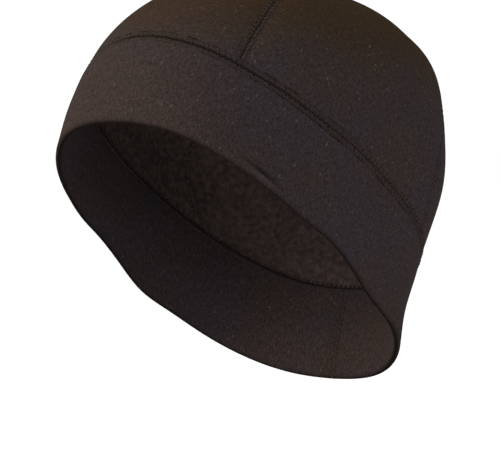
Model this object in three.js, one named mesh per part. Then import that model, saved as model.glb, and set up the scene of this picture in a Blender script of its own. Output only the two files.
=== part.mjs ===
// A skull cap of stretch fleece in the form that it has when worn: a wide band of doubled cloth and a
// crown of four gores. Millimetres, +Z up. The wearer faces -Y and the wearer's left is +X.
import * as THREE from "three";

// The cloth and its seams.
const CLOTH = 1.8; // one thickness of fleece
const BAND_WALL = 3.4; // the band is folded double at the hem
const SEAM_GAP = 0.3; // clearance between pieces that are sewn edge to edge
const LEAN = 38; // degrees that the worn cap leans back, low at the nape

// Level rows of the cap, from the hem up its own axis. The last row is the top of the crown.
// middle: how far the row's centre lies behind the axis. saddle: the rise at the front and the back,
// and the dip at the sides. sway: the slower wave of the sewn line, three times round.
// front_seam, rear_seam: degrees round from the front, on either side, at which the seams between the
// gores cross the row. On the band's rows they only say how the seams would run on.
const COLUMNS = [
  "height", "middle", "half_length", "half_width", "saddle", "sway", "front_seam", "rear_seam",
];
const ROWS = [
  [0, 22.5, 103.5, 76, 1.2, 0.6, 42, 131],
  [20.5, 14.5, 102, 76.5, 1.4, 1.3, 39.5, 125],
  [44, 9.5, 98.5, 80, 0.6, 1.9, 37, 120.5],
  [71, 7, 88, 85, 0.3, 1.7, 33, 113],
  [95, 7, 75.5, 80.5, 0, 0, 30.5, 117.5],
  [116.5, 12, 59.5, 68.5, 0, 0, 27.5, 118.5],
  [131.5, 17, 43, 50, 0, 0, 25, 122.5],
  [142, 20, 26, 30.5, 0, 0, 24, 126],
  [146.5, 21.5, 0, 0, 0, 0, 23.5, 128],
].map((values) => Object.fromEntries(COLUMNS.map((name, k) => [name, values[k]])));
const TOP = ROWS.length - 1;
const BAND_ROW = 2; // the row where the band is sewn to the crown
const SQUARENESS = { hem: 2.35, top: 1.75 }; // power of each row's outline, 2 is a plain ellipse
const EGG = { hem: 0.035, top: 0.17 }; // how much narrower a row is in front than behind

// On either side the hem leaves its even curve: it rises a little, and sinks again farther back.
// degrees: round from the front. wide: degrees. rise: millimetres at the hem, less and less up to the
// sewn line.
const SIDE_WAVES = [
  { degrees: 86, wide: 8, rise: 2 },
  { degrees: 102, wide: 10, rise: -2 },
];

// Mesh steps.
const BAND_STEPS = { round: 72, up: 5, fold: 4 };
const GORE_STEPS_UP = 14;
const DEGREES_PER_STEP = 8;
const TIP_RADIUS = 1.6; // the gores stop this far from the point where their seams meet

const FLEECE = { color: 0x35302e, roughness: 0.92, metalness: 0 };

const mix = (a, b, u) => a + (b - a) * u;

// One column of ROWS at a fractional row, on a smooth curve through the rows. Past the top the table is
// mirrored, so that the crown closes smoothly, and below the hem it runs straight on.
function column(name, row) {
  const odd = name === "half_length" || name === "half_width";
  const at = (i) => {
    if (i > TOP) return (odd ? -1 : 1) * ROWS[2 * TOP - i][name];
    if (i < 0) return 2 * ROWS[0][name] - ROWS[1][name];
    return ROWS[i][name];
  };
  const i = Math.min(Math.max(Math.floor(row), 0), TOP - 1);
  const u = row - i;
  const [a, b, c, d] = [at(i - 1), at(i), at(i + 1), at(i + 2)];
  return b + 0.5 * u * (c - a + u * (2 * a - 5 * b + 4 * c - d + u * (3 * (b - c) + d - a)));
}

// How far SIDE_WAVES lift a place on the band.
function sideWave(row, degrees) {
  const round = Math.abs(THREE.MathUtils.euclideanModulo(degrees + 180, 360) - 180);
  const share = Math.max(1 - row / BAND_ROW, 0) ** 2;
  const lifts = SIDE_WAVES.map((wave) => wave.rise * Math.exp(-(((round - wave.degrees) / wave.wide) ** 2)));
  return share * lifts.reduce((a, b) => a + b);
}

// The cap's outer surface in its own frame, at a fractional row and degrees round from the front.
function outside(row, degrees) {
  const turn = THREE.MathUtils.degToRad(degrees);
  const up = row / TOP;
  const power = 2 / mix(SQUARENESS.hem, SQUARENESS.top, up);
  const round = (v) => Math.sign(v) * Math.abs(v) ** power;
  const along = Math.cos(turn);
  const narrowing = 1 - mix(EGG.hem, EGG.top, up) * along;
  const waves = column("saddle", row) * Math.cos(2 * turn) + column("sway", row) * Math.cos(3 * turn);
  return new THREE.Vector3(
    column("half_width", row) * round(Math.sin(turn)) * narrowing,
    column("middle", row) - column("half_length", row) * round(along),
    column("height", row) + waves + sideWave(row, degrees),
  );
}

// A point inside the cloth: straight in from the outer surface by a depth.
function inside(row, degrees, depth) {
  const [rowStep, turnStep] = [0.02, 0.5];
  const here = outside(row, degrees);
  if (depth === 0) return here;
  const up = outside(row + rowStep, degrees).sub(outside(row - rowStep, degrees));
  const round = outside(row, degrees + turnStep).sub(outside(row, degrees - turnStep));
  return here.addScaledVector(up.cross(round).normalize(), depth);
}

// Rows that one millimetre along the surface takes, just above a given row at the side of the cap.
function rowsPerMillimetre(row) {
  const step = 0.05;
  return step / outside(row, 90).distanceTo(outside(row + step, 90));
}

// A mesh from a grid of points, grid[i][j]. Both ways it closes on itself, as a ring's skin does.
function closedSkin(grid) {
  const [across, round] = [grid.length, grid[0].length];
  const positions = grid.flat().flatMap((p) => p.toArray());
  const index = [];
  for (let i = 0; i < across; i += 1) {
    for (let j = 0; j < round; j += 1) {
      const [i2, j2] = [(i + 1) % across, (j + 1) % round];
      const [a, b, c, d] = [i * round + j, i2 * round + j, i2 * round + j2, i * round + j2];
      index.push(a, b, c, a, c, d);
    }
  }
  return geometry(positions, index);
}

// A sheet with thickness, from an outer and an inner grid of the same shape.
function sheet(outer, inner) {
  const [across, along] = [outer.length, outer[0].length];
  const positions = [...outer.flat(), ...inner.flat()].flatMap((p) => p.toArray());
  const skin = across * along;
  const index = [];
  const quad = (a, b, c, d) => index.push(a, b, c, a, c, d);
  for (let i = 0; i + 1 < across; i += 1) {
    for (let j = 0; j + 1 < along; j += 1) {
      const [a, b, c, d] = [i * along + j, (i + 1) * along + j, (i + 1) * along + j + 1, i * along + j + 1];
      quad(a, b, c, d);
      quad(skin + d, skin + c, skin + b, skin + a);
    }
  }
  const rim = [];
  for (let i = 0; i < across; i += 1) rim.push(i * along);
  for (let j = 1; j < along; j += 1) rim.push((across - 1) * along + j);
  for (let i = across - 2; i >= 0; i -= 1) rim.push(i * along + along - 1);
  for (let j = along - 2; j > 0; j -= 1) rim.push(j);
  rim.forEach((a, k) => {
    const b = rim[(k + 1) % rim.length];
    quad(b, a, skin + a, skin + b);
  });
  return geometry(positions, index);
}

function geometry(positions, index) {
  const made = new THREE.BufferGeometry();
  made.setAttribute("position", new THREE.Float32BufferAttribute(positions, 3));
  made.setIndex(index);
  made.computeVertexNormals();
  return made;
}

function piece(name, shape) {
  const mesh = new THREE.Mesh(shape, new THREE.MeshStandardMaterial(FLEECE));
  mesh.name = name;
  return mesh;
}

// The band: its section runs down the outer face, round the fold at the hem and up the inner face.
function band() {
  const radius = BAND_WALL / 2;
  const foldRows = radius * rowsPerMillimetre(0);
  const topRow = BAND_ROW - (SEAM_GAP / 2) * rowsPerMillimetre(BAND_ROW);
  const section = [];
  for (let k = 0; k < BAND_STEPS.up; k += 1) {
    section.push({ row: mix(topRow, foldRows, k / BAND_STEPS.up), depth: 0 });
  }
  for (let k = 0; k <= BAND_STEPS.fold; k += 1) {
    const turn = (Math.PI * k) / BAND_STEPS.fold;
    section.push({ row: foldRows * (1 - Math.sin(turn)), depth: radius * (1 - Math.cos(turn)) });
  }
  for (let k = BAND_STEPS.up - 1; k >= 0; k -= 1) {
    section.push({ row: mix(topRow, foldRows, k / BAND_STEPS.up), depth: BAND_WALL });
  }
  const grid = section.map(({ row, depth }) =>
    Array.from({ length: BAND_STEPS.round }, (_, j) => inside(row, (360 * j) / BAND_STEPS.round, depth)),
  );
  return piece("band", closedSkin(grid));
}

// Degrees that half a seam's gap takes at a row, at one place round the cap.
function gapDegrees(row, degrees) {
  const step = 1;
  return (SEAM_GAP / 2) * (step / outside(row, degrees).distanceTo(outside(row, degrees + step)));
}

// A gore of the crown between two seams, each given by its name and the side that it is on.
function gore(name, start, end) {
  const firstRow = BAND_ROW + (SEAM_GAP / 2) * rowsPerMillimetre(BAND_ROW);
  const lastRow = TOP - TIP_RADIUS / (2 * outside(TOP - 0.5, 90).x);
  const edge = (seam, row) => seam.turn + seam.side * column(seam.which, row);
  const steps = Math.round((edge(end, BAND_ROW) - edge(start, BAND_ROW)) / DEGREES_PER_STEP);
  const skin = (depth) =>
    Array.from({ length: steps + 1 }, (_, i) =>
      Array.from({ length: GORE_STEPS_UP + 1 }, (_, j) => {
        const row = mix(firstRow, lastRow, j / GORE_STEPS_UP);
        const from = edge(start, row) + gapDegrees(row, edge(start, row));
        const to = edge(end, row) - gapDegrees(row, edge(end, row));
        return inside(row, mix(from, to, i / steps), depth);
      }),
    );
  return piece(name, sheet(skin(0), skin(CLOTH)));
}

// The highest point inside the crown once the cap leans back, where it bears on its wearer.
function seat() {
  const lean = THREE.MathUtils.degToRad(-LEAN);
  let best = null;
  for (let row = BAND_ROW; row < TOP; row += 0.05) {
    const p = inside(row, 0, CLOTH).applyAxisAngle(new THREE.Vector3(1, 0, 0), lean);
    if (!best || p.z > best.z) best = p;
  }
  return best;
}

const frontLeft = { which: "front_seam", side: 1, turn: 0 };
const rearLeft = { which: "rear_seam", side: 1, turn: 0 };
const rearRight = { which: "rear_seam", side: -1, turn: 360 };
const frontRight = { which: "front_seam", side: -1, turn: 0 };

const cap = new THREE.Group();
cap.add(band());
cap.add(gore("crown_panel_front", frontRight, frontLeft));
cap.add(gore("crown_panel_left", frontLeft, rearLeft));
cap.add(gore("crown_panel_back", rearLeft, rearRight));
cap.add(gore("crown_panel_right", rearRight, { ...frontRight, turn: 360 }));
cap.rotation.x = THREE.MathUtils.degToRad(-LEAN);
cap.position.copy(seat()).negate();

const model = new THREE.Group();
model.add(cap);
export default model;
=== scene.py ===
# %% [markdown]
# # A stretch-fleece skull cap
#
# The cap is five pieces of cloth: a wide band folded double at its hem, and four gores that meet at
# the top of the crown. Flat, braid-like seams join them. It is shown in the form that it has when
# worn, and it is open below, so the camera also sees some of the inside.
#
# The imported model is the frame. Every piece of cloth made here stands in the place of one of its
# solids, and only the threads of the seams are extra.

import bpy
import numpy as np
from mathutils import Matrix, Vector


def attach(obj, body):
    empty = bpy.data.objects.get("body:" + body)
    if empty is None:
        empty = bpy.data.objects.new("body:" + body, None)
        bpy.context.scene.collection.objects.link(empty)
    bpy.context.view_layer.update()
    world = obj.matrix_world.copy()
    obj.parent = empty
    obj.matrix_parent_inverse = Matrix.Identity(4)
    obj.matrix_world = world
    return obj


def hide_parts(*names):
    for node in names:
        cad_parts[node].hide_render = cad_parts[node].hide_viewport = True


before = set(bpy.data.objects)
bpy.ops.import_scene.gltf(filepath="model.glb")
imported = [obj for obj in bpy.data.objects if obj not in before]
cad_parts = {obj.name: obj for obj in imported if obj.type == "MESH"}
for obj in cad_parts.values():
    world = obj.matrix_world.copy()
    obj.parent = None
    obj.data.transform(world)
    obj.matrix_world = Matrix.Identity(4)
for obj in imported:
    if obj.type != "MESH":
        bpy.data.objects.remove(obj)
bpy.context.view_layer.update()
print("solids:", sorted(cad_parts))

# %% [markdown]
# ## The form of the cap
#
# A worn cap is a stack of egg-shaped rings, so a short table describes it: how high each ring is,
# where its middle lies, and how long and wide it is. A smooth curve through each column gives every
# ring in between. Sculpting would look as good, but nobody could say afterwards how long the band
# is. The table repeats the one that the solids were made from, so that the two agree.

# %% The table of rings
MM = 0.001
CLOTH = 1.8 * MM  # one thickness of fleece
BAND_WALL = 3.4 * MM  # the band is folded double at the hem
LEAN = np.radians(38)  # how far the worn cap leans back, low at the nape

# Millimetres, and degrees for the seams. middle: how far the ring's centre lies behind the axis.
# saddle: the rise in front and behind, and the dip at the sides. sway: a wave three times round.
# front_seam, rear_seam: how far round from the front the crown's seams cross the ring.
COLUMNS = ("height", "middle", "half_length", "half_width", "saddle", "sway", "front_seam", "rear_seam")
ROWS = np.array([
    [0, 22.5, 103.5, 76, 1.2, 0.6, 42, 131],
    [20.5, 14.5, 102, 76.5, 1.4, 1.3, 39.5, 125],
    [44, 9.5, 98.5, 80, 0.6, 1.9, 37, 120.5],
    [71, 7, 88, 85, 0.3, 1.7, 33, 113],
    [95, 7, 75.5, 80.5, 0, 0, 30.5, 117.5],
    [116.5, 12, 59.5, 68.5, 0, 0, 27.5, 118.5],
    [131.5, 17, 43, 50, 0, 0, 25, 122.5],
    [142, 20, 26, 30.5, 0, 0, 24, 126],
    [146.5, 21.5, 0, 0, 0, 0, 23.5, 128],
])
TOP = len(ROWS) - 1
BAND_ROW = 2  # the ring on which the band is sewn to the crown
SQUARENESS = {"hem": 2.35, "top": 1.75}  # power of a ring's outline, 2 is a plain ellipse
EGG = {"hem": 0.035, "top": 0.17}  # how much narrower a ring is in front than behind

# On either side the hem rises a little, and sinks again farther back. rise: millimetres.
SIDE_WAVES = ({"degrees": 86, "wide": 8, "rise": 2}, {"degrees": 102, "wide": 10, "rise": -2})


def column(name, row):
    """One column of ROWS at fractional rows: a Catmull-Rom curve, mirrored past the top, straight
    on below the hem."""
    values = ROWS[:, COLUMNS.index(name)]
    flip = -1 if name in ("half_length", "half_width") else 1
    below = 2 * values[0] - values[1]
    values = np.concatenate([[below], values, flip * values[[-2, -3]]])
    i = np.clip(np.floor(row).astype(int), 0, TOP - 1)
    a, b, c, d = (values[i + k] for k in range(4))
    u = row - i
    return b + 0.5 * u * (c - a + u * (2 * a - 5 * b + 4 * c - d + u * (3 * (b - c) + d - a)))


def side_wave(row, degrees):
    """Millimetres that the hem rises or sinks at the sides: each wave's rise times a Gauss curve
    round the ring, fading to nothing at the sewn line."""
    turned = np.abs(np.mod(degrees + 180, 360) - 180)
    lift = sum(w["rise"] * np.exp(-(((turned - w["degrees"]) / w["wide"]) ** 2)) for w in SIDE_WAVES)
    return lift * np.clip(1 - row / BAND_ROW, 0, None) ** 2


print("rings:", len(ROWS), "up to", ROWS[-1, 0], "mm above the hem")

# %% [markdown]
# ## From the table to a surface
#
# Each ring is a superellipse, which is an ellipse with squarer or more pointed corners. The two
# numbers of a place on the cap are its row and its degrees round from the front. The crossed
# product of the two directions there points into the cloth, and so a depth is a third number.

# %% The outer surface
ROUNDING = 0.003  # keeps the superellipse smooth where it crosses its own axes
ROW_STEP, TURN_STEP = 0.02, 0.5  # rows and degrees to either side of a place, to find its directions
SEARCH_STEP = 0.05  # rows between the places that are tried for the highest point


def mix(a, b, share):
    """In a straight line from a, at share 0, to b, at share 1."""
    return a + (b - a) * share


def lean_back(own):
    """Turns points of the upright cap by LEAN about the side-to-side axis."""
    x, y, z = np.moveaxis(own, -1, 0)
    cos, sin = np.cos(LEAN), np.sin(LEAN)
    return np.stack([x, y * cos + z * sin, z * cos - y * sin], -1)


def shell(row, degrees):
    """The outer surface before it is moved to the frame: x = half width times the rounded sine,
    y = middle - half length times the rounded cosine, z = height + the waves round the ring."""
    turn = np.radians(degrees)
    up = row / TOP
    power = 2 / mix(SQUARENESS["hem"], SQUARENESS["top"], up)
    sine, cosine = (v * (v * v + ROUNDING) ** (power / 2 - 0.5) for v in (np.sin(turn), np.cos(turn)))
    narrowing = 1 - mix(EGG["hem"], EGG["top"], up) * np.cos(turn)
    waves = column("saddle", row) * np.cos(2 * turn) + column("sway", row) * np.cos(3 * turn)
    own = np.stack([
        column("half_width", row) * sine * narrowing,
        column("middle", row) - column("half_length", row) * cosine,
        column("height", row) + waves + side_wave(row, degrees),
    ], -1)
    return lean_back(own * MM)


def into_cloth(row, degrees):
    """Unit vectors straight into the cloth: small steps up and round, crossed."""
    up = shell(row + ROW_STEP, degrees) - shell(row - ROW_STEP, degrees)
    around = shell(row, degrees + TURN_STEP) - shell(row, degrees - TURN_STEP)
    inward = np.cross(up, around)
    return inward / np.linalg.norm(inward, axis=-1, keepdims=True)


def highest_inside():
    """The highest point on the crown's inner face, along its front-to-back line."""
    row = np.arange(BAND_ROW, TOP, SEARCH_STEP)
    line = shell(row, 0 * row) + CLOTH * into_cloth(row, 0 * row)
    return line[np.argmax(line[:, 2])]


SEAT = highest_inside()
print("the crown's inside is highest at", SEAT.round(4), "of the cap, the origin of the frame")

# %% [markdown]
# ## Small unevenness
#
# Cloth that is pulled taut is smooth, but never as smooth as a formula. Long low waves in a few
# fixed directions make it uneven by a third of a millimetre, and because they depend only on the
# place in space, two pieces that are sewn together stay together. One shallow crease in the left
# side of the band, parallel to the hem, comes from the fold, and the cloth swells a little below it.

# %% Waves and the crease
SWELLS = np.array([
    # wave's direction,   metres long,  metres high,  phase
    [0.9, 0.3, 0.3, 0.071, 0.00025, 0.4],
    [-0.4, 0.8, 0.5, 0.058, 0.00022, 2.1],
    [0.2, -0.6, 0.8, 0.047, 0.00018, 4.4],
    [0.7, 0.7, -0.2, 0.036, 0.00012, 1.3],
    [-0.6, 0.1, 0.8, 0.029, 0.0001, 5.2],
])
CREASE = {
    "row": 0.245,
    "degrees": 57,
    "rows_wide": 0.06,
    "degrees_long": 6.5,
    "slope": -0.004,  # rows that it climbs in a degree
    "depth": 1.1 * MM,
    "swelling": 0.5,  # height of the swelling, as a share of the depth
    "below": 2.1,  # widths of the crease from its middle down to the swelling
    "painted_shading": 0.5,  # share of the crease painted as shade in it, and as highlight on the swelling below it
}


def crease(row, degrees):
    """1 in the crease's middle, by Gauss curves along and across it, and negative on the swelling."""
    along = (degrees - CREASE["degrees"]) / CREASE["degrees_long"]
    across = (row - CREASE["row"] - CREASE["slope"] * (degrees - CREASE["degrees"])) / CREASE["rows_wide"]
    swelling = CREASE["swelling"] * np.exp(-along**2 - (across + CREASE["below"]) ** 2)
    return np.exp(-along**2 - across**2) - swelling


def unevenness(row, degrees, place):
    """Depth of the cloth under the smooth shell: the swells' sines and the crease."""
    directions = SWELLS[:, :3] / np.linalg.norm(SWELLS[:, :3], axis=1, keepdims=True)
    long, high, phase = SWELLS[:, 3:].T
    waves = np.sin(2 * np.pi * (place @ directions.T) / long + phase) * high
    return waves.sum(-1) + CREASE["depth"] * crease(row, degrees)


def face(row, degrees, depth=0.0):
    """Points of the worn cap's cloth at a depth under its outer face."""
    row, degrees = np.broadcast_arrays(np.asarray(row, float), np.asarray(degrees, float))
    place = shell(row, degrees) - SEAT
    return place + (depth + unevenness(row, degrees, place))[..., None] * into_cloth(row, degrees)


print("swells add up to at most", SWELLS[:, 4].sum() / MM, "mm")

# %% [markdown]
# ## Where a seam pulls the cloth in
#
# A flat seam draws the cloth into a shallow hollow and leaves three lines in it: a groove where the
# two edges meet, and a row of dimples on either side where the needles go through. All of them
# depend on one thing only, how far a point is from the seam, so each piece measures that along its
# own grid.

# %% Seam profile and grids
SEAM_WIDTH = 4.6 * MM  # between the two rows of needles
STITCH = 2.9 * MM

# Four Gauss curves of the distance from a seam. depth: in the middle of each. wide: its width.
HOLLOW = {
    "depth": 0.8 * MM,
    "wide": 4.5 * MM,
    "behind": 0.1,  # share of the depth that is left on the band's seam behind
    "rows": 0.4,  # from the band's seam up or down to where the depth is full all round
}
GROOVE = {"depth": 0.8 * MM, "wide": 0.6 * MM}
NEEDLES = {"depth": 0.4 * MM, "wide": 0.4 * MM, "between": 0.5}  # share left between two stitches
PUCKER = {"depth": 0.14 * MM, "wide": 6 * MM, "stitches": 3}
NEAR_SEAM, NEAR_FOLD = 5 * MM, 8 * MM  # the parts of a piece that are meshed finely


def bell(distance, wide):
    """A Gauss curve: 1 at no distance, and 1 / e where the distance is the width."""
    return np.exp(-((distance / wide) ** 2))


def hollow(distance, row, degrees):
    """Depth to which a seam draws the whole cloth in: a Gauss curve of the distance from it. On the
    band's seam it is deep in front and shallow behind, and on the crown's seams the same all along."""
    in_front = 0.5 + 0.5 * np.cos(np.radians(degrees))
    away = np.clip(np.abs(row - BAND_ROW) / HOLLOW["rows"], 0, 1)
    share = mix(mix(HOLLOW["behind"], 1, in_front), 1, away)
    return HOLLOW["depth"] * share * bell(distance, HOLLOW["wide"])


def dip(distance, along):
    """Depth by distance from the seam: a groove, a needle line and a low pucker, as Gauss curves. The
    needle line is a wave of the stitch length, and the pucker a wave of a few stitches."""
    stitches = 2 * np.pi * along / STITCH
    groove = GROOVE["depth"] * bell(distance, GROOVE["wide"])
    needles = NEEDLES["depth"] * bell(distance - SEAM_WIDTH / 2, NEEDLES["wide"])
    holes = mix(NEEDLES["between"], 1, 0.5 + 0.5 * np.cos(stitches))
    pucker = PUCKER["depth"] * np.cos(stitches / PUCKER["stitches"]) * bell(distance, PUCKER["wide"])
    return groove + needles * holes + pucker


def lengths(points, axis):
    """How far each point of a grid is from its line's first point, along the line, in metres."""
    steps = np.linalg.norm(np.diff(points, axis=axis), axis=-1)
    return np.insert(np.cumsum(steps, axis=axis), 0, 0, axis=axis)


def shares(whole, fine, coarse, near_end=NEAR_SEAM):
    """Shares from 0 to 1 of a length, close together at its start and over a length at its end."""
    first, last = NEAR_SEAM / whole, 1 - near_end / whole
    start = np.linspace(0, first, fine, endpoint=False)
    end = np.linspace(1, last, round(fine * near_end / NEAR_SEAM), endpoint=False)[::-1]
    return np.concatenate([start, np.linspace(first, last, coarse), end])


print("a seam is", SEAM_WIDTH / MM, "mm wide and has a stitch each", STITCH / MM, "mm")

# %% [markdown]
# ## A sheet with two sides
#
# Every piece of cloth is two grids of points, its face and its back, joined round the rim. The
# mesh is closed, so light and the exporter both see a real thickness. Each point also keeps four
# facts that the material reads: how far it is from a seam; how much shade is painted on it at the
# fold and in the crease, with a painted highlight on the swelling below the crease; where it lies on
# the cloth; and on which side.

# %% Make a closed sheet


def new_piece(name, points, faces, facts):
    """A smooth mesh object at the origin, with one point attribute for each fact."""
    mesh = bpy.data.meshes.new(name)
    mesh.from_pydata(points, [], faces)
    mesh.shade_smooth()
    for fact, values in facts.items():
        kind, field = ("FLOAT_VECTOR", "vector") if np.ndim(values) == 2 else ("FLOAT", "value")
        mesh.attributes.new(fact, kind, "POINT").data.foreach_set(field, np.ravel(values).astype(np.float32))
    piece = bpy.data.objects.new(name, mesh)
    bpy.context.scene.collection.objects.link(piece)
    return piece


def cloth_facts(seam, lay, painted_shading):
    """The same facts for a sheet's face and for its back, which is the brushed side."""
    return {
        "seam": np.tile(seam, 2),
        "painted_shading": np.tile(painted_shading, 2),
        "lay": np.tile(lay, (2, 1)),
        "brushed": np.repeat([0.0, 1.0], seam.size),
    }


def closed_sheet(name, outer, inner, facts):
    """Joins an outer and an inner grid of points, and goes once round their rims between them."""
    count = outer.shape[0] * outer.shape[1]
    number = np.arange(count).reshape(outer.shape[:2])
    quads = np.stack([number[:-1, :-1], number[1:, :-1], number[1:, 1:], number[:-1, 1:]], -1).reshape(-1, 4)
    rim = np.concatenate([number[:, 0], number[-1, 1:], number[-2::-1, -1], number[0, -2:0:-1]])
    after = np.roll(rim, -1)
    edge = np.stack([after, rim, rim + count, after + count], -1)
    points = np.concatenate([outer.reshape(-1, 3), inner.reshape(-1, 3)])
    faces = np.concatenate([quads, quads[:, ::-1] + count, edge])
    return new_piece(name, points.tolist(), faces.tolist(), facts)


def measure(piece):
    """Prints a closed piece's triangles, cloth area and volume, which is positive if faces look out."""
    mesh = piece.data
    mesh.calc_loop_triangles()
    corners = np.empty((len(mesh.loop_triangles), 3), np.int32)
    points = np.empty((len(mesh.vertices), 3), np.float32)
    mesh.loop_triangles.foreach_get("vertices", corners.ravel())
    mesh.vertices.foreach_get("co", points.ravel())
    a, b, c = points.astype(float)[corners].swapaxes(0, 1)
    area = np.linalg.norm(np.cross(b - a, c - a), axis=1).sum() / 2
    volume = (a * np.cross(b, c)).sum() / 6
    print(f"{piece.name}: {len(corners)} triangles, cloth {area / 2:.4f} m2, volume {volume * 1e6:.1f} ml")


print("sheets keep", list(cloth_facts(np.zeros(1), np.zeros((1, 3)), np.zeros(1))))

# %% [markdown]
# ## The band
#
# A strip a little shorter than the ring that it stretches to, folded along its middle so that the
# fold is the hem, and sewn into a ring behind. Its grid runs round the ring one way. The other way
# it follows the cloth: down the inside, round the fold and up the outside. Two layers with a
# hair's breadth between them are what makes the hem look full.

# %% The band's cloth
LAYER = 1.6 * MM
HAIR = 0.02 * MM  # the band and the gores stop this far from the line on which they are sewn
RING_RADIUS = 0.09  # metres, of a circle about as long as the cap is round
BAND_GRID = {  # points of the grid
    "round": 440,  # once round
    "fine": 11,  # in the part of it near a seam
    "face": 21,  # up the rest of either side
    "fold": 9,
}
INNER_PULL = -0.5  # a seam pulls the band's inner face outwards, half as far as the outer one inwards
# Shade painted along the hem's fold: a dark line where the fold turns under.
FOLD = {
    "painted_shading": 0.97,
    "inside": 0.3 * MM,  # from the turn of the fold in to where the painted shade is darkest
    "wide": 1.75 * MM,
}
SHADE_INSET = 0.6 * MM  # how much closer to a seam's middle the painted shade lines lie at the join and the crown's seams than at the band's


def rows_per_metre(row):
    """Rows that a metre along the surface takes, just above a row at the side of the cap."""
    step = 0.05
    return step / np.linalg.norm(shell(np.array(row + step), 90) - shell(np.array(float(row)), 90))


def band_section():
    """Rows and depths across the ribbon, on its face and on its back: down the inside, half a circle
    and up the outside. Half the wall is the circle's radius, and the back lies a layer under."""
    radius, back_radius = BAND_WALL / 2, BAND_WALL / 2 - LAYER
    fold_rows = radius * rows_per_metre(0)
    top = BAND_ROW - HAIR * rows_per_metre(BAND_ROW)
    height = (top - fold_rows) / rows_per_metre(1)
    down = mix(top, fold_rows, shares(height, BAND_GRID["fine"], BAND_GRID["face"], NEAR_FOLD))[:-1]
    turn = np.linspace(np.pi, 0, BAND_GRID["fold"])
    level = np.zeros_like(down)
    row = [down, fold_rows * (1 - np.sin(turn)), down[::-1]]
    depth = [level + BAND_WALL, radius * (1 - np.cos(turn)), level]
    back_row = [down, fold_rows * (1 - np.sin(turn) * back_radius / radius), down[::-1]]
    back_depth = [level + BAND_WALL - LAYER, radius - back_radius * np.cos(turn), level + LAYER]
    return [np.concatenate(parts)[None] for parts in (row, depth, back_row, back_depth)]


def band_cloth():
    """The ribbon's section carried once round, from the join behind back to the join."""
    row, depth, back_row, back_depth = band_section()
    coarse = BAND_GRID["round"] - 2 * BAND_GRID["fine"]
    degrees = -180 + 360 * shares(2 * np.pi * RING_RADIUS, BAND_GRID["fine"], coarse)[:, None]
    smooth = face(row, degrees, depth)
    across, around = lengths(smooth, 1), lengths(smooth, 0)
    from_top = np.minimum(across, lengths(smooth[:, ::-1], 1)[:, ::-1])
    from_join = np.minimum(around, lengths(smooth[::-1], 0)[::-1])

    fold = row.size // 2
    pull = np.where(np.arange(row.size) > fold, 1.0, INNER_PULL)
    pulled = np.maximum(dip(from_top, around), dip(from_join, across))
    pulled = pulled + hollow(np.minimum(from_top, from_join), row, degrees)
    outer = face(row, degrees, depth + pulled * pull)
    inner = face(back_row, degrees, back_depth)

    # Painted shade along the fold and in the crease, and a painted highlight, as negative values, on the
    # swelling below the crease.
    past_fold = across - across[:, [fold]]
    painted_shading = FOLD["painted_shading"] * bell(past_fold + FOLD["inside"], FOLD["wide"])
    painted_shading = painted_shading + CREASE["painted_shading"] * crease(row, degrees) * (past_fold > 0)
    seam = np.minimum(from_top, from_join + SHADE_INSET)
    lay = np.stack([around, across, 0 * around], -1).reshape(-1, 3)
    return closed_sheet("band_cloth", outer, inner, cloth_facts(seam.ravel(), lay, painted_shading.ravel()))


band = band_cloth()
measure(band)

# %% [markdown]
# ## The gores
#
# Each gore is a tall triangle with bowed sides, from the band up to the point where all four meet.
# The seams between them cross the rings at the degrees that the table's last two columns give. The
# face is smooth and the back, which the wearer feels, is brushed into a soft nap.

# %% The crown's cloth
GORE_GRID = {"fine": 11, "across": 60, "up": 84}  # points near a seam, and over the rest each way
GORE_HEIGHT = 0.155  # metres from the band to the tip, for the grid's spacing alone
TIP_RADIUS = 0.06 * MM
EDGE = 0.0001  # share of its width that a gore stops short of either seam
BACK_PULL = 0.45  # share of a seam's dip by which the cloth's back rises towards its face
SEAMS = {
    "front_left": ("front_seam", 1),
    "rear_left": ("rear_seam", 1),
    "rear_right": ("rear_seam", -1),
    "front_right": ("front_seam", -1),
}


def seam_degrees(seam, row, whole_turns=0):
    """Degrees round from the front at which one of SEAMS crosses a row."""
    name, side = SEAMS[seam]
    return side * column(name, row) + 360 * whole_turns


def gore_cloth(name, start, end, whole_turns=0):
    """Rows run from the band to the tip, and degrees from one seam to the next at each row."""
    first = BAND_ROW + HAIR * rows_per_metre(BAND_ROW)
    last = TOP - TIP_RADIUS / (2 * np.abs(shell(np.array(TOP - 0.5), 90)[0]))
    row = mix(first, last, shares(GORE_HEIGHT, GORE_GRID["fine"], GORE_GRID["up"], 0))[None]
    edges = [seam_degrees(start, row), seam_degrees(end, row, whole_turns)]
    width = RING_RADIUS * np.radians(edges[1][0, 0] - edges[0][0, 0])
    share = shares(width, GORE_GRID["fine"], GORE_GRID["across"])[:, None]
    degrees = mix(*edges, mix(EDGE, 1 - EDGE, share))

    smooth = face(row, degrees)
    up, over = lengths(smooth, 1), lengths(smooth, 0)
    back_over = lengths(smooth[::-1], 0)[::-1]
    from_side = np.minimum(over, back_over)
    pulled = np.maximum(dip(up, over), np.maximum(dip(over, up), dip(back_over, up)))
    sunk = hollow(np.minimum(up, from_side), row, degrees)
    outer = face(row, degrees, pulled + sunk)
    inner = face(row, degrees, CLOTH - BACK_PULL * pulled + sunk)

    seam = np.minimum(up, from_side + SHADE_INSET).ravel()
    lay = np.stack([over, up, 0 * up], -1).reshape(-1, 3)
    return closed_sheet(name, outer, inner, cloth_facts(seam, lay, 0 * seam))


gores = {
    "crown_panel_front": gore_cloth("crown_cloth_front", "front_right", "front_left"),
    "crown_panel_left": gore_cloth("crown_cloth_left", "front_left", "rear_left"),
    "crown_panel_back": gore_cloth("crown_cloth_back", "rear_left", "rear_right", 1),
    "crown_panel_right": gore_cloth("crown_cloth_right", "rear_right", "front_right"),
}
for gore in gores.values():
    measure(gore)
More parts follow.
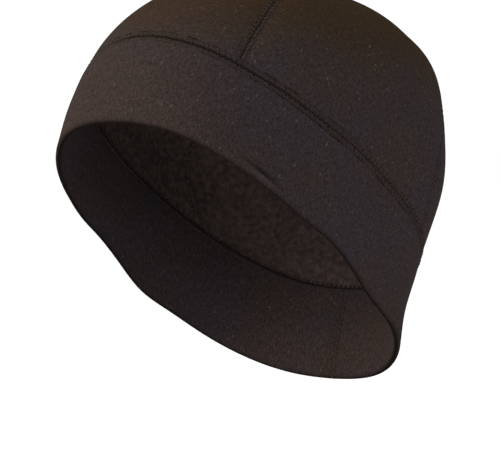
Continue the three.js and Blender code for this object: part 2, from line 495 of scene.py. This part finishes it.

# %% [markdown]
# ## Thread
#
# A thread is a tube: a ring of a few points carried along its centre line. The rings stand at equal
# lengths, with a whole number of stitches to a seam, so that a seam that runs round the cap closes.
# Each point keeps two facts for the material: how far along the thread it is, and how much of the
# seam groove's painted shade it takes.

# %% Make a thread
THREAD = 0.21 * MM  # radius
SIDES = 5
STEPS_PER_STITCH = 10
LENGTH_STEPS = 1500  # places along a seam between which its length is measured


def even_steps(line):
    """Parameters from 0 to 1 at equal lengths along a line, and the stitches' phase at each."""
    t = np.linspace(0, 1, LENGTH_STEPS)
    run = lengths(line(t), 0)
    stitches = round(run[-1] / STITCH)
    even = np.linspace(0, run[-1], stitches * STEPS_PER_STITCH + 1)
    return np.interp(even, run, t), 2 * np.pi * stitches * np.linspace(0, 1, len(even))


def tube(centre, out, closed):
    """A ring of SIDES points round each centre: centre + radius (cos a out + sin a across)."""
    along = np.gradient(centre, axis=0)
    if closed:
        along[0] = along[-1] = centre[1] - centre[-2]
    across = np.cross(along, out)
    across /= np.linalg.norm(across, axis=1, keepdims=True)
    out = np.cross(across, along)
    out /= np.linalg.norm(out, axis=1, keepdims=True)
    if closed:
        centre, across, out = centre[:-1], across[:-1], out[:-1]
    angle = 2 * np.pi * np.arange(SIDES) / SIDES
    ring = np.cos(angle)[None, :, None] * out[:, None] + np.sin(angle)[None, :, None] * across[:, None]
    return centre[:, None] + THREAD * ring


def tube_faces(first, count, closed):
    """Quads between neighbouring rings, and a face on each open end. First is the first point's
    number."""
    i = np.arange(count if closed else count - 1)[:, None]
    j = np.arange(SIDES)[None]
    i2, j2 = (i + 1) % count, (j + 1) % SIDES
    quads = np.stack([i * SIDES + j, i * SIDES + j2, i2 * SIDES + j2, i2 * SIDES + j], -1).reshape(-1, 4)
    ends = np.array([j[0, ::-1], (count - 1) * SIDES + j[0]])
    return (first + quads).tolist() + ([] if closed else (first + ends).tolist())


def thread_piece(name, strands):
    """One object from several strands, each a centre line, its outward directions, how much painted
    groove shade each point takes, from 0 to 1, and if it's closed."""
    points, faces, runs, shades, first = [], [], [], [], 0
    for centre, out, shade, closed in strands:
        rings = tube(centre, out, closed)
        points.append(rings.reshape(-1, 3))
        faces += tube_faces(first, len(rings), closed)
        runs.append(np.repeat(lengths(centre, 0)[: len(rings)], SIDES))
        shades.append(np.repeat(shade[: len(rings)], SIDES))
        first += rings.shape[0] * SIDES
    facts = {"run": np.concatenate(runs), "shade": np.concatenate(shades)}
    return new_piece(name, np.concatenate(points).tolist(), faces, facts)


print("thread", 2 * THREAD / MM, "mm thick, with", SIDES, "sides")

# %% [markdown]
# ## A flatlock seam
#
# A flatlock seam lays two edges side by side and covers them: a straight row of stitches holds
# each edge, and two threads zigzag between the rows and cross each other. They are tight enough to
# bite into the groove, so from a little way off the seam looks like a flat braid with a dark line
# along its middle, deepened by painted shade on the cloth and the threads. A thread's distance from
# the seam line and its height over the cloth are waves of the stitch length, which is how a sewing
# machine makes them too.

# %% The strands of a seam
NEEDLE_ROW = {"height": -0.12 * MM, "wave": 0.16 * MM}
ZIGZAG = {
    "apart": 0.9,  # radians of a stitch between the two threads that zigzag side by side
    "sharp": 0.97,  # 1 would give it sharp corners at the needles
    "height": 0.1 * MM,
    "over": 0.12 * MM,  # from the first of the two threads up to the second
    "arch": 0.08 * MM,
    "bite": (0.75 * MM, 1 * MM),  # depth into the groove, first at the sides and behind, then in front
    "wide": (0.7 * MM, 0.9 * MM),  # width of the bite, in the same two places
}
UNEVEN = {"radians": 0.8, "width": 0.12}  # how much the sewing wanders along the seam and across it


def wander(place):
    """How uneven the sewing is, -1 to 1: the mean of three sines of the place alone, so that it closes
    round a ring."""
    directions = np.array([[0.6, 0.7, 0.4], [-0.5, 0.8, 0.3], [0.8, -0.3, 0.5]])
    long = np.array([5.3, 8.9, 17.1]) * MM
    return np.sin(2 * np.pi * (place @ directions.T) / long).mean(-1)


def flatlock(
    row_of, degrees_of, closed=False, width_of=None, depths=(0.0, 0.0), sinks=(1, 1), zigzags=2, shaded=1.0
):
    """Strands of one seam. A strand's place is the seam line + side * offset + out * height:
    needle rows keep their offset and sink once a stitch, zigzags cross from row to row and bite into
    the groove by a Gauss curve. Depths are those of the cloth on either side, sinks the shares of the
    seam's hollow that it follows there, and shaded is how much of the groove's painted shade is taken."""
    def line(t):
        return face(row_of(t), degrees_of(t))

    t, wave = even_steps(line)
    row, degrees, middle = row_of(t), degrees_of(t), line(t)
    inward = into_cloth(row, degrees)
    out = inward if depths[0] > 0 else -inward
    along = np.gradient(middle, axis=0)
    if closed:
        along[0] = along[-1] = along[0] + along[-1]
    side = np.cross(along, inward)
    side /= np.linalg.norm(side, axis=1, keepdims=True)
    half = SEAM_WIDTH / 2 * (np.ones_like(t) if width_of is None else width_of(t))
    in_front = np.clip(np.cos(np.radians(degrees)), 0, 1) ** 2
    bite, wide = mix(*ZIGZAG["bite"], in_front), mix(*ZIGZAG["wide"], in_front)

    def strand(offset, height, shade):
        share = np.clip(offset / SEAM_WIDTH + 0.5, 0, 1)
        base = mix(*depths, share) + mix(*sinks, share) * hollow(offset, row, degrees)
        centre = middle + side * offset[:, None] + inward * base[:, None] + out * height[:, None]
        return centre, out, shade, closed

    needle_height = NEEDLE_ROW["height"] + NEEDLE_ROW["wave"] * np.cos(wave)
    strands = [strand(edge * half, needle_height, 0 * t) for edge in (-1, 1)]
    for k in range(zigzags):
        uneven = wander(middle + k * SEAM_WIDTH)
        phase = wave + ZIGZAG["apart"] * k + UNEVEN["radians"] * uneven
        offset = half * (2 / np.pi) * np.arcsin(ZIGZAG["sharp"] * np.sin(phase))
        shade = bell(offset, wide)
        height = ZIGZAG["height"] + ZIGZAG["over"] * k + ZIGZAG["arch"] * np.cos(phase) ** 2 - bite * shade
        strands.append(strand(offset * (1 + UNEVEN["width"] * uneven), height, shaded * shade))
    return strands


def band_row_of(t):
    """The band's seam stays on one row."""
    return BAND_ROW + 0 * t


def round_the_band(t):
    """Once round, from the centre back."""
    return -180 + 360 * t


band_thread = thread_piece("band_seam_thread", flatlock(band_row_of, round_the_band, closed=True))
print(band_thread.name, len(band_thread.data.polygons), "faces")

# %% [markdown]
# ## Threads of the crown, the band's join and the inside
#
# The crown's seams start under the band's thread and grow narrower near the top, where all four
# meet. The same function sews the inside at the depth of the inner face. On the band's seam that
# depth differs from side to side, because the band is double and the crown is not.

# %% The other seams
FROM_BAND = 0.09  # rows between the band's seam and the end of a seam that meets it
FROM_HEM = 0.02  # rows from the hem to the join's first stitch
FROM_TOP = 0.03  # rows that the crown's seams stop short of the very top
NARROWING = {"rows": 0.24, "least": 0.12}
CROWN_SHADE = 0.3  # share of the painted groove shade that the crown's outer threads take


def crown_seam(seam):
    """A crown seam's row and degrees along its length, and the share of its full width, which shrinks
    evenly over the last quarter of a row below the top."""
    def row_of(t):
        return mix(BAND_ROW + FROM_BAND, TOP - FROM_TOP, t)

    def degrees_of(t):
        return seam_degrees(seam, row_of(t))

    def width_of(t):
        return np.clip((TOP - row_of(t)) / NARROWING["rows"], NARROWING["least"], 1)

    return row_of, degrees_of, width_of


def join_row_of(t):
    """The band's join runs from the hem to the band's seam."""
    return mix(FROM_HEM, BAND_ROW - FROM_BAND, t)


def centre_back(t):
    """The join stays at the centre back."""
    return 180 + 0 * t


crown_threads = {}
for seam in SEAMS:
    row_of, degrees_of, width_of = crown_seam(seam)
    outer = flatlock(row_of, degrees_of, width_of=width_of, shaded=CROWN_SHADE)
    inner = flatlock(row_of, degrees_of, width_of=width_of, depths=(CLOTH, CLOTH), zigzags=1)
    crown_threads[seam] = thread_piece(f"crown_seam_thread_{seam}", outer + inner)

inner_ring = flatlock(
    band_row_of, round_the_band, closed=True, depths=(BAND_WALL, CLOTH), sinks=(INNER_PULL, 1), zigzags=1
)
band_thread_inside = thread_piece("band_seam_thread_inside", inner_ring)
inner_join = flatlock(
    join_row_of, centre_back, depths=(BAND_WALL, BAND_WALL), sinks=(INNER_PULL, INNER_PULL), zigzags=1
)
join_thread = thread_piece("band_join_thread", flatlock(join_row_of, centre_back) + inner_join)
threads = [band_thread, band_thread_inside, join_thread, *crown_threads.values()]
print({piece.name: len(piece.data.polygons) for piece in threads})

# %% [markdown]
# ## Shader maths in Python
#
# A material is arithmetic on noise. Written as nodes it takes a page of sockets, so one small
# class wraps a socket and lets Python's own operators add the Math nodes. Any other node comes
# from `new`, which sets the node's options first and then its sockets.

# %% A wrapper for sockets


class Wire:
    """A socket of a material's node tree."""

    def __init__(self, tree, socket=None):
        self.tree = tree
        self.socket = socket

    def new(self, kind, settings=None, sockets=None, output=0):
        """A node of any type: its settings, then numbers, colours or wires for its sockets."""
        node = self.tree.nodes.new(kind)
        for name, value in (settings or {}).items():
            setattr(node, name, value)
        for name, value in (sockets or {}).items():
            if isinstance(value, Wire):
                self.tree.links.new(value.socket, node.inputs[name])
            else:
                node.inputs[name].default_value = value
        return Wire(self.tree, node.outputs[output]) if node.outputs else None

    def _math(self, operation, a, b):
        return self.new("ShaderNodeMath", {"operation": operation}, {0: a, 1: b})

    def __add__(self, other):
        return self._math("ADD", self, other)

    def __sub__(self, other):
        return self._math("SUBTRACT", self, other)

    def __rsub__(self, other):
        return self._math("SUBTRACT", other, self)

    def __mul__(self, other):
        return self._math("MULTIPLY", self, other)

    __radd__ = __add__
    __rmul__ = __mul__

    def place(self):
        """The Object coordinates, which are metres in the frame."""
        return self.new("ShaderNodeTexCoord", output="Object")

    def fact(self, name, output="Fac"):
        """One of the facts that a piece's points keep."""
        return self.new("ShaderNodeAttribute", {"attribute_name": name}, output=output)

    def part(self, axis):
        """One part of a vector: x is 0, y is 1 and z is 2."""
        return self.new("ShaderNodeSeparateXYZ", {}, {0: self}, axis)

    def ramp(self, low, high):
        """0 below low, 1 above high and a smooth step between them. High may be the lower one."""
        sockets = {"Value": self, "From Min": low, "From Max": high}
        return self.new("ShaderNodeMapRange", {"interpolation_type": "SMOOTHSTEP"}, sockets)

    def noise(self, place, size, detail=2.0, roughness=0.5):
        """Cloudy noise from 0 to 1 whose blobs are about size metres across."""
        sockets = {"Vector": place, "Scale": 1 / size, "Detail": detail, "Roughness": roughness}
        return self.new("ShaderNodeTexNoise", {}, sockets)

    def bump(self, strength, distance, height):
        """A normal that follows a height. The distance is what a height of 1 stands for, in metres."""
        return self.new("ShaderNodeBump", {}, {"Strength": strength, "Distance": distance, "Height": height})

    def tint(self, share, low, high):
        """A colour between two others, each a wire or three numbers."""
        colours = [c if isinstance(c, Wire) else (*c, 1) for c in (low, high)]
        sockets = {0: share, 6: colours[0], 7: colours[1]}
        return self.new("ShaderNodeMix", {"data_type": "RGBA"}, sockets, output=2)


def new_material(name, colour):
    """An empty material, and a wire to start from. Colour is what a plain viewer shows."""
    material = bpy.data.materials.new(name)
    material.use_nodes = True
    material.node_tree.nodes.clear()
    material.diffuse_color = (*colour, 1)
    return material, Wire(material.node_tree)


def finish_material(start, sockets):
    """The surface shader and the output. Sockets that don't vary are set on the shader itself."""
    shader = start.new("ShaderNodeBsdfPrincipled", {}, sockets)
    start.new("ShaderNodeOutputMaterial", {}, {"Surface": shader})


print("materials are ready to be wired")

# %% [markdown]
# ## Fleece
# Up close the face of the cloth is a mixture of nearly black, brown and grey-violet fibres, with
# a pale fibre here and there that shows as a speck of dust would. The grey-violet lies from the side
# backwards and is made strong there as painted cool light. The back is combed into a nap of small
# soft tufts and looks a little lighter. Shade is painted along the fold of the hem and in the crease,
# and a highlight is painted on the swelling below the crease. A seam shows as three lines of painted
# shade: one along its groove, and a broken one on either side, along the rows of needles. The
# groove's painted shade is darkest in front, and all three fade towards the nape. Towards the top
# and the back of the crown a darker, warmer umber is painted in as warm shade. A faint sheen on the
# shader's own sockets softens the rim, as the ends of the fibres do.

# %% The fleece's material
# The fibres' colours; the grey-violet is real heather, made strong as painted cool light on the side.
DARK, BROWN, VIOLET = (0.0145, 0.011, 0.011), (0.037, 0.0275, 0.0255), (0.033, 0.0275, 0.0345)
# The crown's fibre colours for its painted warm shade, darker and warmer, towards its top and back.
DARK_UMBER, UMBER = (0.0165, 0.0101, 0.0056), (0.0325, 0.0199, 0.011)
NAP_DARK, NAP_PALE = [0.7 * c for c in BROWN], [1.5 * c for c in BROWN]
# A pale fibre; a painted highlight for the swelling below the crease; painted shade for the seams, the hem's
# fold and the crease.
PALE_FIBRE, SWELL_HIGHLIGHT, SHADOW = (0.3, 0.28, 0.29), (0.12, 0.115, 0.115), (0.003, 0.0022, 0.0022)
SHEEN = {"Sheen Weight": 0.009, "Sheen Roughness": 0.5, "Sheen Tint": (0.85, 0.8, 0.72, 1)}
BLOBS = {  # how far across the blobs of each noise are
    "fibre": 0.9 * MM,
    "tuft": 2.8 * MM,
    "ragged": 4 * MM,
    "clump": 6 * MM,
    "cloud": 35 * MM,
}
MIDDLE_LINE = (1.3 * MM, 0.5 * MM)  # distances from the seam at which the painted shade along the groove begins and is full
# The painted shade along either needle row: its outer and inner ramps, and how far its distance wanders.
EDGE_LINE = {"out": (3.6 * MM, 2.8 * MM), "in": (1.8 * MM, 2.5 * MM), "ragged": 1.6 * MM}

# Places in the frame, in metres, at which each begins and is full.
GROOVE_HEIGHT = (-0.1, -0.025)
NAPE_HEIGHT = (-0.095, -0.13)
# The grey-violet patches, in part painted cool light, from the side backwards:
VIOLET_BEHIND = (-0.1, -0.055)
WARM_SHADE_HEIGHT = (-0.06, -0.014)


def groove_shade(height):
    """How dark the painted shade in a seam's groove is: 1 high in front, where it is pulled the deepest,
    and less towards the nape, as a smooth step of the height."""
    return height.ramp(*GROOVE_HEIGHT)


def speck(start, place, spacing, size, share):
    """Small soft dots: the middles of Voronoi cells, in only the cells whose random grey is high."""
    cells = {"Vector": place, "Scale": 1 / spacing}
    distance = start.new("ShaderNodeTexVoronoi", {}, cells, "Distance")
    shade = start.new("ShaderNodeTexVoronoi", {}, cells, "Color")
    chance = start.new("ShaderNodeSeparateColor", {}, {0: shade}, 0)
    return distance.ramp(size, size * 0.3) * chance.ramp(share, 1.0)


def heather(start, place, fibres, warm_shade_dark, warm_shade_pale):
    """Dark and pale fibres by a noise. The pale ones have patches of brown and grey-violet, the violet only
    from the side backwards, where it is in part painted cool light. Towards the top and the back both
    turn to their warm shade colours, a painted warm shade."""
    behind, height = place.part(1), place.part(2)
    # Painted warm shade, growing towards the top and the back.
    painted_warm_shade = (height + 0.25 * behind).ramp(*WARM_SHADE_HEIGHT)
    clouds = start.noise(place, BLOBS["cloud"]).ramp(0.35, 0.65)
    patches = start.tint(clouds * behind.ramp(*VIOLET_BEHIND), BROWN, VIOLET)
    return start.tint(fibres, start.tint(painted_warm_shade, DARK, warm_shade_dark), start.tint(painted_warm_shade, patches, warm_shade_pale))


def painted_seam_shade(start, place, edge_shade):
    """Painted shade by a seam: a line along the groove, and a line beside it along the needle row,
    whose distance wanders and whose strength is broken up by clumps of nap."""
    seam, height = start.fact("seam"), place.part(2)
    clumps = start.noise(place, BLOBS["clump"], 1.0).ramp(0.35, 0.65)
    ragged = seam + EDGE_LINE["ragged"] * (start.noise(place, BLOBS["ragged"]) - 0.5)
    middle_line = seam.ramp(*MIDDLE_LINE) * groove_shade(height)
    edge_line = ragged.ramp(*EDGE_LINE["out"]) * ragged.ramp(*EDGE_LINE["in"]) * height.ramp(*edge_shade)
    edge_line = edge_line * (1 - 0.7 * height.ramp(*NAPE_HEIGHT))
    return 0.85 * middle_line + edge_line * (0.15 + 0.75 * clumps)


def fleece(name, warm_shade_dark, warm_shade_pale, edge_shade):
    """The cloth's material. The warm shade colours are painted on the fibres at the top and the back,
    and the last argument gives the heights between which the painted shade lines on either side of a
    seam grow from nothing to full."""
    material, start = new_material(name, BROWN)
    place, lay = start.place(), start.fact("lay", "Vector")
    painted_shading, brushed = start.fact("painted_shading"), start.fact("brushed")
    wales = start.new("ShaderNodeMapping", {}, {"Vector": lay, "Scale": (1.0, 0.35, 1.0)})
    grain = start.noise(place, BLOBS["fibre"], 3.0, 0.65)
    streaks = start.noise(wales, BLOBS["fibre"], 2.0, 0.6)
    tufts = start.noise(place, BLOBS["tuft"], 3.0, 0.6)

    fibres = (0.6 * grain + 0.4 * streaks).ramp(0.32, 0.7)
    nap = start.tint(tufts.ramp(0.3, 0.75), NAP_DARK, NAP_PALE)
    cloth = start.tint(brushed, heather(start, place, fibres, warm_shade_dark, warm_shade_pale), nap)
    pale = 0.19 * speck(start, place, 3.6 * MM, 0.13, 0.2) + 0.12 * speck(start, wales, 2.4 * MM, 0.18, 0.2)
    cloth = start.tint(pale, cloth, PALE_FIBRE)
    # Painted highlight on the swelling below the crease, where the painted shading is negative.
    cloth = start.tint(painted_shading * -0.25, cloth, SWELL_HIGHLIGHT)
    # Painted shade along the seams, the hem's fold and the crease.
    colour = start.tint(painted_seam_shade(start, place, edge_shade) + painted_shading, cloth, SHADOW)

    relief = (0.5 * grain + 0.5 * streaks) * (1 - brushed) + 2.5 * tufts * brushed
    sockets = {
        "Base Color": colour,
        "Roughness": 0.82 + 0.14 * grain,
        "Normal": start.bump(0.6, 0.3 * MM, relief),
        "Specular IOR Level": 0.0,
        **SHEEN,
    }
    finish_material(start, sockets)
    return material


band_fleece = fleece("band fleece", DARK, BROWN, edge_shade=(0.01, -0.09))
crown_fleece = fleece("crown fleece", DARK_UMBER, UMBER, edge_shade=(-0.1, -0.035))
print(band_fleece.name, "and", crown_fleece.name)

# %% [markdown]
# ## Sewing thread
#
# Overlocking thread is textured polyester: matt, a shade darker than the cloth, and twisted from
# two plies. The twist is a wave along the run of each thread. Where a thread dives into the groove
# of its seam, shade is painted on it, as dark as the groove's painted shade.

# %% The thread's material
THREAD_PLAIN = (0.015, 0.011, 0.011)  # what a plain viewer shows
THREAD_DARK, THREAD_PALE = (0.0175, 0.0128, 0.0112), (0.044, 0.0318, 0.0275)
TWIST = 0.7 * MM  # length of one turn of the plies
FUZZ = 0.8 * MM  # how far across its blobs are


def sewing_thread():
    """Two plies as a sine along the run, with fuzz on them, and painted shade where the thread is in a
    groove.
    """
    material, start = new_material("sewing thread", THREAD_PLAIN)
    place = start.place()
    turns = start.new("ShaderNodeMath", {"operation": "SINE"}, {0: start.fact("run") * (2 * np.pi / TWIST)})
    plies = 0.5 + 0.5 * turns
    fuzz = start.noise(place, FUZZ)
    colour = start.tint(0.5 * plies + 0.5 * fuzz, THREAD_DARK, THREAD_PALE)
    # Painted shade where the thread lies in the groove, fading towards the nape.
    colour = start.tint(0.8 * start.fact("shade") * groove_shade(place.part(2)), colour, SHADOW)
    sockets = {
        "Base Color": colour,
        "Roughness": 0.7 + 0.2 * fuzz,
        "Normal": start.bump(0.5, 0.08 * MM, plies + fuzz),
        "Specular IOR Level": 0.1,
    }
    finish_material(start, sockets)
    return material


thread_finish = sewing_thread()
for piece in threads:
    piece.data.materials.append(thread_finish)
band.data.materials.append(band_fleece)
for gore in gores.values():
    gore.data.materials.append(crown_fleece)
print(thread_finish.name, "on", len(threads), "pieces")

# %% [markdown]
# ## Which piece stands for which solid
#
# Each piece rides on the frame's one body, and the solid that each cloth stands in for is hidden.
# Wearing stretched the cloths by up to a twelfth of their area: the band was cut as a strip, and each
# gore fills a good part of the rectangle that it was cut from.

# %% Tie the pieces to the frame
BODY = "root"

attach(band, BODY)
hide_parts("band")
for node, gore in gores.items():
    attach(gore, BODY)
    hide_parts(node)
for piece in threads:
    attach(piece, BODY)

# %% [markdown]
# ## Floor, light and camera
#
# The cap hangs as if it were worn, over a plain pale floor that runs to the horizon under a white
# sky. One large soft lamp stands in front on the wearer's right, so that the front of the band is a
# little lighter than the side, and a weak one hangs above. The camera looks from the photo's
# angle: 41 degrees round to the wearer's left, nearly level with the hem.

# %% Floor
FLOOR_HEIGHT = -0.30
FLOOR_HALF = 40.0  # metres from the middle to an edge
FLOOR_GREYS = [(grey, grey, grey) for grey in (0.95, 0.97)]


def pale_floor():
    """A flat square with a faint mottle."""
    ways = ((-1, -1), (1, -1), (1, 1), (-1, 1))
    corners = [(FLOOR_HALF * x, FLOOR_HALF * y, FLOOR_HEIGHT) for x, y in ways]
    floor = new_piece("floor", corners, [(0, 1, 2, 3)], {})
    material, start = new_material("pale floor", (0.8, 0.8, 0.8))
    mottle = start.noise(start.place(), 0.4, 3.0)
    finish_material(start, {"Base Color": start.tint(mottle, *FLOOR_GREYS), "Roughness": 0.9})
    floor.data.materials.append(material)


pale_floor()
print("floor", FLOOR_HEIGHT, "m high")

# %% Camera
AZIMUTH, ELEVATION = np.radians(41.4), np.radians(1.64)
HEM_CENTRE = Vector(lean_back(np.zeros(3)) - SEAT)
DISTANCE = 1.5  # metres from there to the camera
LENS = 226.9  # millimetres
AIM = {"right": 0.0229, "up": 0.0021}  # metres from the hem's centre to the picture's

back = Vector((np.sin(AZIMUTH) * np.cos(ELEVATION), -np.cos(AZIMUTH) * np.cos(ELEVATION), np.sin(ELEVATION)))
right = Vector((np.cos(AZIMUTH), np.sin(AZIMUTH), 0))
above = back.cross(right)


def facing(thing, place, target):
    """Puts a camera or lamp at a place and turns it to a target."""
    thing.location = place
    thing.rotation_euler = (target - place).to_track_quat("-Z", "Y").to_euler()
    bpy.context.scene.collection.objects.link(thing)


lens = bpy.data.cameras.new("camera")
lens.lens = LENS
camera = bpy.data.objects.new("camera", lens)
facing(camera, HEM_CENTRE + back * DISTANCE, HEM_CENTRE + right * AIM["right"] + above * AIM["up"])
bpy.context.scene.camera = camera
print("camera", [round(v, 3) for v in camera.location], "lens", LENS, "mm")

# %% Light
LAMPS = {
    # name: (right, back, up of the camera's axes in metres), size in metres, watts, colour
    "front": ((-1.45, 0.3, 0.55), 0.9, 25.5, (1.0, 0.87, 0.7)),
    "top": ((-0.3, 0.1, 1.3), 0.9, 5.0, (1.0, 0.9, 0.78)),
}
SKY = {"Color": (1, 1, 1, 1), "Strength": 1.06}

for name, (offsets, size, watts, colour) in LAMPS.items():
    lamp = bpy.data.lights.new(name, "AREA")
    lamp.size, lamp.energy, lamp.color = size, watts, colour
    place = HEM_CENTRE + right * offsets[0] + back * offsets[1] + above * offsets[2]
    facing(bpy.data.objects.new(name, lamp), place, HEM_CENTRE)

world = bpy.data.worlds.new("white sky")
world.use_nodes = True
for name, value in SKY.items():
    world.node_tree.nodes["Background"].inputs[name].default_value = value
bpy.context.scene.world = world
bpy.context.scene.view_settings.view_transform = "Standard"
print("lamps:", list(LAMPS))
